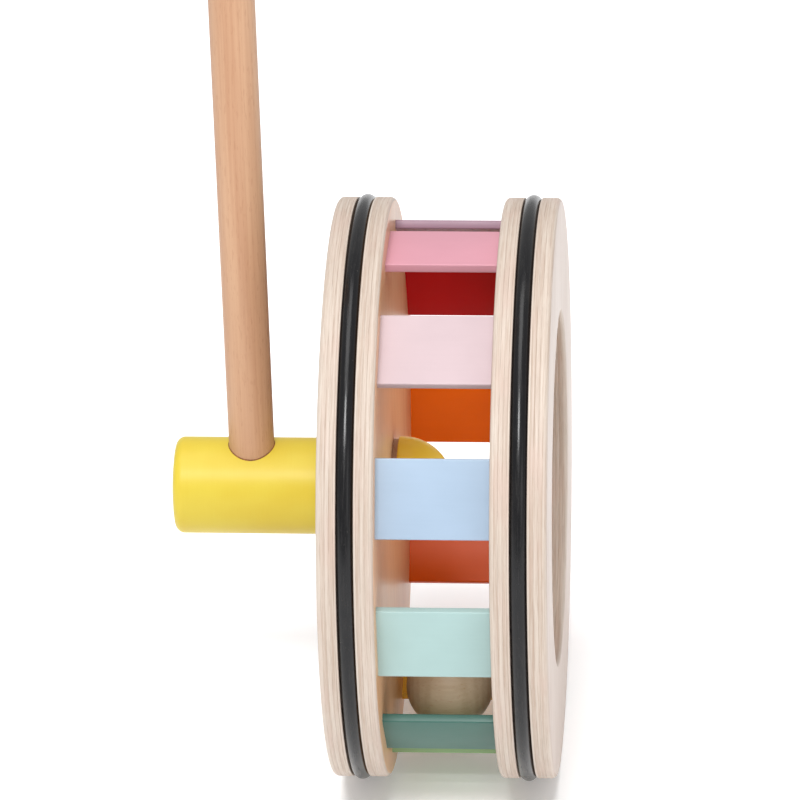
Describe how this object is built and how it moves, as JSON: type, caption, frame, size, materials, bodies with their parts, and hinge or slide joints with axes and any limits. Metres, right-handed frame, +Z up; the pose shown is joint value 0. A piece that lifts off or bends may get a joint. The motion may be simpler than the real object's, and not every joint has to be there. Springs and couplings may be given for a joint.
{
  "type": "push along roller toy",
  "caption": "Wooden push-along roller: rubber-tyred plywood rims joined by painted slats turn on an axle in a hub with a push stick, round a loose wooden ball.",
  "frame": {"origin": "on the floor under the middle of the drum, midway between the two rims", "axes": "+X is the direction of travel when pushed, +Y runs along the axle towards the hub and stick, +Z is up; the stick stands almost upright, leaning 4 degrees back towards -X"},
  "size_m": [0.2324, 0.1539, 0.5951],
  "materials": {
    "plywood": "satin clear lacquer over birch plywood, plies showing on the rims",
    "beech": "oiled beech with fine short flecks",
    "yellow_paint": "satin yellow paint on turned wood",
    "tyre_rubber": "smooth black rubber cord",
    "steel": "plain zinc-plated washer",
    "paint_light_blue": "satin paint on a thin wooden slat",
    "paint_pale_pink": "satin paint on a thin wooden slat",
    "paint_pink": "satin paint on a thin wooden slat",
    "paint_purple": "satin paint on a thin wooden slat",
    "paint_dark_red": "satin paint on a thin wooden slat",
    "paint_orange": "satin paint on a thin wooden slat",
    "paint_orange_red": "satin paint on a thin wooden slat",
    "paint_amber": "satin paint on a thin wooden slat",
    "paint_lime": "satin paint on a thin wooden slat",
    "paint_green": "satin paint on a thin wooden slat",
    "paint_mint": "satin paint on a thin wooden slat"
  },
  "bodies": {
    "handle": {"hub": "yellow_paint", "push_stick": "beech", "axle": "beech", "dome_cap": "yellow_paint", "outer_washer": "steel", "inner_washer": "beech"},
    "drum": {"solid_rim": "plywood", "open_rim": "plywood", "solid_rim_tyre": "tyre_rubber", "open_rim_tyre": "tyre_rubber", "slat_light_blue": "paint_light_blue", "slat_pale_pink": "paint_pale_pink", "slat_pink": "paint_pink", "slat_purple": "paint_purple", "slat_dark_red": "paint_dark_red", "slat_orange": "paint_orange", "slat_orange_red": "paint_orange_red", "slat_amber": "paint_amber", "slat_lime": "paint_lime", "slat_green": "paint_green", "slat_mint": "paint_mint"},
    "ball": {"loose_ball": "beech"}
  },
  "joints": [
    {"name": "drum_spin", "type": "hinge", "parent": "handle", "child": "drum", "pos_m": [0, 0, 0.1162], "axis": [0, 1, 0], "continuous": true},
    {"name": "ball_spin", "type": "hinge", "parent": "drum", "child": "ball", "pos_m": [0, 0.0015, 0.02604], "axis": [0, 1, 0], "continuous": true}
  ]
}
